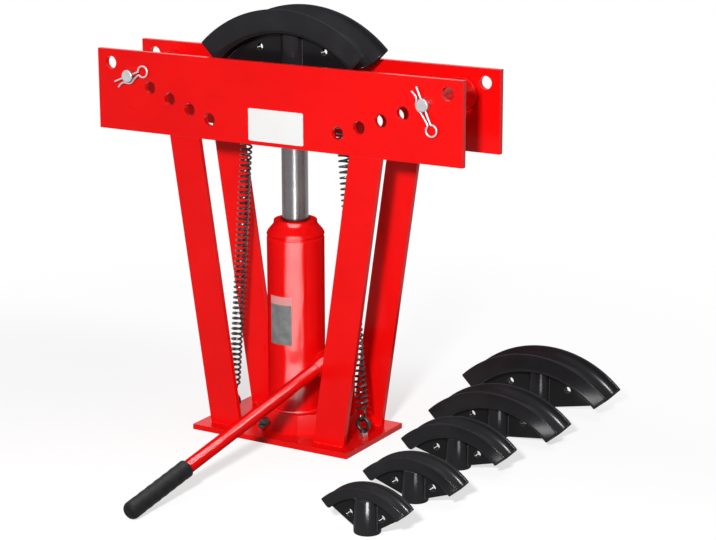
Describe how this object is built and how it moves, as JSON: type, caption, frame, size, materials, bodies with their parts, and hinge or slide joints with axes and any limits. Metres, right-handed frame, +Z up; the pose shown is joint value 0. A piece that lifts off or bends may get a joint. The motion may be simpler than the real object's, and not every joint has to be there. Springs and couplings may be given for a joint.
{
  "type": "hydraulic pipe bender",
  "caption": "Upright hydraulic pipe bender: bottle jack with pump lever between two slotted side plates on splayed legs, return springs, pinned rollers and a set of grooved bending dies.",
  "frame": {"origin": "middle of the base plate's underside, on the floor", "axes": "+Z up along the ram, +X along the side plates to the right, -Y to the operator"},
  "size_m": [0.6792, 0.7355, 0.62],
  "materials": {
    "red_paint": "glossy red paint on steel",
    "bright_steel": "ground steel, lightly oiled",
    "zinc_steel": "zinc plated steel",
    "dark_steel": "blackened steel",
    "black_rubber": "matte black rubber",
    "black_iron": "black paint on cast iron"
  },
  "bodies": {
    "frame": {"base_plate": "red_paint", "front_plate": "red_paint", "rear_plate": "red_paint", "front_left_leg": "red_paint", "front_right_leg": "red_paint", "rear_left_leg": "red_paint", "rear_right_leg": "red_paint", "spring_eye_bolts": "zinc_steel", "eye_bolt_nuts": "zinc_steel", "jack_base": "red_paint", "check_balls": "zinc_steel", "jack_screws": "dark_steel", "jack_cylinder": "dark_steel", "jack_reservoir": "red_paint", "jack_head": "red_paint", "ram_wiper": "black_rubber", "oil_filler_plug": "black_rubber", "pump_barrel": "dark_steel", "pump_gland": "zinc_steel", "pump_seal": "black_rubber", "fulcrum_post": "red_paint", "left_return_spring": "dark_steel", "right_return_spring": "dark_steel"},
    "ram": {"ram": "bright_steel", "ram_piston": "dark_steel", "piston_seal": "black_rubber", "spring_crossbar": "red_paint", "ram_head_nut": "bright_steel"},
    "left_pin": {"left_roller_pin": "bright_steel", "left_pin_clip": "zinc_steel"},
    "right_pin": {"right_roller_pin": "bright_steel", "right_pin_clip": "zinc_steel"},
    "left_roller": {"left_roller": "red_paint"},
    "right_roller": {"right_roller": "red_paint"},
    "lever": {"handle_socket": "red_paint", "fulcrum_pin": "bright_steel", "handle_tube": "red_paint", "handle_grip": "black_rubber"},
    "plunger": {"pump_plunger": "bright_steel", "plunger_pin": "bright_steel"},
    "release_valve": {"release_valve": "dark_steel"},
    "mounted_die": {"die_dn50": "black_iron"},
    "loose_die_dn40": {"die_dn40": "black_iron"},
    "loose_die_dn32": {"die_dn32": "black_iron"},
    "loose_die_dn25": {"die_dn25": "black_iron"},
    "loose_die_dn20": {"die_dn20": "black_iron"},
    "loose_die_dn15": {"die_dn15": "black_iron"}
  },
  "joints": [
    {"name": "ram_lift", "type": "slide", "parent": "frame", "child": "ram", "axis": [0, 0, 1], "range_m": [-0.15, 0.078], "deforming": ["left_return_spring", "right_return_spring"]},
    {"name": "left_pin_turn", "type": "hinge", "parent": "frame", "child": "left_pin", "pos_m": [-0.2428, 0, 0.512], "axis": [0, 1, 0], "continuous": true},
    {"name": "right_pin_turn", "type": "hinge", "parent": "frame", "child": "right_pin", "pos_m": [0.2428, 0, 0.512], "axis": [0, 1, 0], "continuous": true},
    {"name": "left_roller_spin", "type": "hinge", "parent": "left_pin", "child": "left_roller", "pos_m": [-0.2428, 0, 0.512], "axis": [0, 1, 0], "continuous": true},
    {"name": "right_roller_spin", "type": "hinge", "parent": "right_pin", "child": "right_roller", "pos_m": [0.2428, 0, 0.512], "axis": [0, 1, 0], "continuous": true},
    {"name": "lever_swing", "type": "hinge", "parent": "frame", "child": "lever", "pos_m": [0.07078, 0.02274, 0.114], "axis": [-0.9909, 0.1349, 0], "range_deg": [0, 40]},
    {"name": "plunger_stroke", "type": "slide", "parent": "frame", "child": "plunger", "axis": [0, 0, 1], "range_m": [0, 0.0204]},
    {"name": "release_valve_turn", "type": "hinge", "parent": "frame", "child": "release_valve", "pos_m": [-0.022, -0.048, 0.022], "axis": [0, -1, 0], "range_deg": [0, 360]},
    {"name": "mounted_die_lift", "type": "slide", "parent": "ram", "child": "mounted_die", "axis": [0, 0, 1], "range_m": [0, 0.1]},
    {"name": "loose_die_dn40_lift", "type": "slide", "parent": "frame", "child": "loose_die_dn40", "axis": [0, 0, 1], "range_m": [0, 0.15]},
    {"name": "loose_die_dn32_lift", "type": "slide", "parent": "frame", "child": "loose_die_dn32", "axis": [0, 0, 1], "range_m": [0, 0.15]},
    {"name": "loose_die_dn25_lift", "type": "slide", "parent": "frame", "child": "loose_die_dn25", "axis": [0, 0, 1], "range_m": [0, 0.15]},
    {"name": "loose_die_dn20_lift", "type": "slide", "parent": "frame", "child": "loose_die_dn20", "axis": [0, 0, 1], "range_m": [0, 0.15]},
    {"name": "loose_die_dn15_lift", "type": "slide", "parent": "frame", "child": "loose_die_dn15", "axis": [0, 0, 1], "range_m": [0, 0.15]}
  ],
  "couplings": [
    {"joint": "plunger_stroke", "follows": "lever_swing", "m_per_rad": 0.029196}
  ]
}
